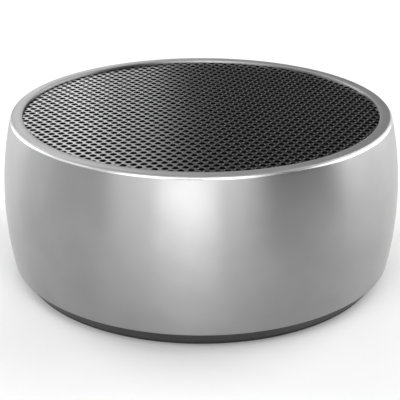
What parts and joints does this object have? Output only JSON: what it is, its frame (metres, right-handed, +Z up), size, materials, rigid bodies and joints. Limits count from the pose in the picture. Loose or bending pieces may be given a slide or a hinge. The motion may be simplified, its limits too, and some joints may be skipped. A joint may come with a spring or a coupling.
{
  "type": "desktop speaker",
  "caption": "Round low desktop speaker with a barrel-shaped metal shell, a perforated top grille over an upward-firing driver, and controls at its back.",
  "frame": {"origin": "on the axis, at the level of the surface that the foot rests on", "axes": "+Z up along the axis; +Y towards the back, where the control panel is; -Y is the front"},
  "size_m": [0.09, 0.09, 0.0376],
  "materials": {
    "anodised_shell": "bead-blasted and anodised, satin",
    "grille_steel": "dark satin lacquer",
    "dust_cloth": "matt",
    "baffle_plastic": "moulded, matt",
    "base_plastic": "moulded, fine texture",
    "foot_rubber": "matt",
    "screw_steel": "zinc plated",
    "frame_steel": "black coated, pressed",
    "motor_steel": "zinc plated",
    "ferrite": "ground, matt",
    "cone_paper": "coated paper",
    "surround_rubber": "satin",
    "former_aluminium": "bare foil",
    "copper_winding": "enamelled",
    "spider_cloth": "resin treated",
    "clamp_fibre": "pressed fibre",
    "strip_laminate": "paper laminate",
    "tag_tin": "tinned",
    "cell_pouch": "laminate pouch",
    "pad_foam": "foam",
    "board_laminate": "solder mask",
    "component_black": "moulded",
    "shield_tin": "tinned",
    "capacitor_can": "sleeved can",
    "header_white": "moulded",
    "wire_black": "vinyl",
    "wire_red": "vinyl",
    "panel_plastic": "fine texture",
    "button_plastic": "satin",
    "switch_body": "moulded",
    "plunger_acetal": "moulded",
    "light_pipe": "frosted",
    "lamp_white": "lens",
    "socket_steel": "nickel plated"
  },
  "bodies": {
    "case": {"outer_shell": "anodised_shell", "grille": "grille_steel", "grille_cloth": "dust_cloth", "baffle": "baffle_plastic", "base_plate": "base_plastic", "foot_ring": "foot_rubber", "case_screws": "screw_steel", "driver_frame": "frame_steel", "driver_screws": "screw_steel", "top_plate": "motor_steel", "magnet": "ferrite", "yoke": "motor_steel", "surround": "surround_rubber", "surround_clamp_ring": "clamp_fibre", "spider": "spider_cloth", "terminal_strip": "strip_laminate", "terminal_tags": "tag_tin", "battery_cell": "cell_pouch", "battery_pad": "pad_foam", "main_board": "board_laminate", "board_screws": "screw_steel", "radio_module": "shield_tin", "amplifier_chip": "component_black", "capacitor": "capacitor_can", "inductor": "component_black", "wire_headers": "header_white", "wire_plugs": "header_white", "speaker_wires": "wire_black", "battery_wires": "wire_red", "control_panel": "panel_plastic", "button_switches": "switch_body", "power_switch_body": "shield_tin", "status_light_pipe": "light_pipe", "status_led": "lamp_white", "microphone": "component_black", "usb_socket_shell": "socket_steel", "usb_socket_tongue": "component_black", "aux_socket": "component_black"},
    "driver_cone": {"cone": "cone_paper", "dust_cap": "cone_paper", "voice_coil_former": "former_aluminium", "voice_coil": "copper_winding"},
    "volume_down": {"volume_down_button": "button_plastic", "volume_down_plunger": "plunger_acetal"},
    "play": {"play_button": "button_plastic", "play_plunger": "plunger_acetal"},
    "volume_up": {"volume_up_button": "button_plastic", "volume_up_plunger": "plunger_acetal"},
    "power_switch": {"power_switch_cap": "button_plastic", "power_switch_lever": "plunger_acetal"}
  },
  "joints": [
    {"name": "cone_travel", "type": "slide", "parent": "case", "child": "driver_cone", "axis": [0, 0, 1], "range_m": [-0.0015, 0.0015], "stiffness_N_per_m": 1000, "deforming": ["surround", "spider"]},
    {"name": "volume_down_press", "type": "slide", "parent": "case", "child": "volume_down", "axis": [0.3192, -0.9477, 0], "range_m": [0, 0.0006], "stiffness_N_per_m": 600, "springref_m": -0.0006},
    {"name": "play_press", "type": "slide", "parent": "case", "child": "play", "axis": [0.1351, -0.9908, 0], "range_m": [0, 0.0006], "stiffness_N_per_m": 600, "springref_m": -0.0006},
    {"name": "volume_up_press", "type": "slide", "parent": "case", "child": "volume_up", "axis": [-0.0537, -0.9986, 0], "range_m": [0, 0.0006], "stiffness_N_per_m": 600, "springref_m": -0.0006},
    {"name": "power_switch_slide", "type": "slide", "parent": "case", "child": "power_switch", "axis": [0.8552, 0.5183, 0], "range_m": [0, 0.002]}
  ]
}
